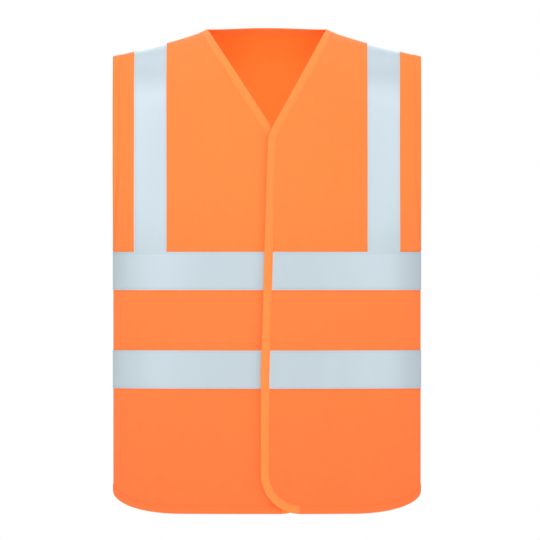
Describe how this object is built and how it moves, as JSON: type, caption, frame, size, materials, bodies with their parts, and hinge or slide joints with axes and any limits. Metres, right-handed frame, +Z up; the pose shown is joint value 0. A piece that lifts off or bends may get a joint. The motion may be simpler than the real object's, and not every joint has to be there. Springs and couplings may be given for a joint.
{
  "type": "high visibility vest",
  "caption": "Sleeveless high visibility vest with bound edges, two reflective bands, shoulder braces and a front that opens on touch fastener strips.",
  "frame": {"origin": "on the shoulder line, midway between the two points where the shoulders meet the neck opening", "axes": "+Z up, -Y to the front of the vest, +X to the wearer's left"},
  "size_m": [0.4022, 0.2167, 0.6319],
  "materials": {
    "cloth": "fluorescent orange knitted polyester, matt",
    "binding": "fluorescent orange folded binding tape",
    "tape": "silver retroreflective glass-bead tape",
    "fastener": "orange hook and loop fastener tape",
    "label": "white woven label, blank"
  },
  "bodies": {
    "vest_body": {"back_hem_binding": "binding", "back_lower_tape": "tape", "back_neck_binding": "binding", "back_panel": "cloth", "back_upper_tape": "tape", "left_armhole_binding": "binding", "left_back_brace_tape": "tape", "left_front_brace_tape": "tape", "left_front_hem_binding": "binding", "left_front_lower_tape": "tape", "left_front_side": "cloth", "left_front_upper_tape": "tape", "left_neck_binding": "binding", "left_shoulder_seam": "cloth", "left_side_seam": "cloth", "right_armhole_binding": "binding", "right_back_brace_tape": "tape", "right_front_brace_tape": "tape", "right_front_hem_binding": "binding", "right_front_lower_tape": "tape", "right_front_side": "cloth", "right_front_upper_tape": "tape", "right_neck_binding": "binding", "right_shoulder_seam": "cloth", "right_side_seam": "cloth"},
    "left_front": {"left_front_flap": "cloth", "left_flap_binding": "binding", "left_flap_upper_tape": "tape", "left_flap_lower_tape": "tape", "upper_hook_strip": "fastener", "middle_hook_strip": "fastener", "lower_hook_strip": "fastener"},
    "right_front": {"right_front_flap": "cloth", "right_flap_binding": "binding", "right_flap_upper_tape": "tape", "right_flap_lower_tape": "tape", "upper_loop_strip": "fastener", "middle_loop_strip": "fastener", "lower_loop_strip": "fastener"},
    "label": {"care_label": "label"}
  },
  "joints": [
    {"name": "left_front_open", "type": "hinge", "parent": "vest_body", "child": "left_front", "pos_m": [0.096, -0.1015, -0.6266], "axis": [-0.0677, -0.0196, 0.9975], "range_deg": [0, 150]},
    {"name": "right_front_open", "type": "hinge", "parent": "vest_body", "child": "right_front", "pos_m": [-0.044, -0.11, -0.6266], "axis": [0, 0, -1], "range_deg": [0, 39]},
    {"name": "label_flip", "type": "hinge", "parent": "vest_body", "child": "label", "pos_m": [0.197, 0, -0.4766], "axis": [0, 0, 1], "range_deg": [-65, 65]}
  ],
  "couplings": [
    {"joint": "right_front_open", "follows": "left_front_open", "ratio": 0.26}
  ]
}
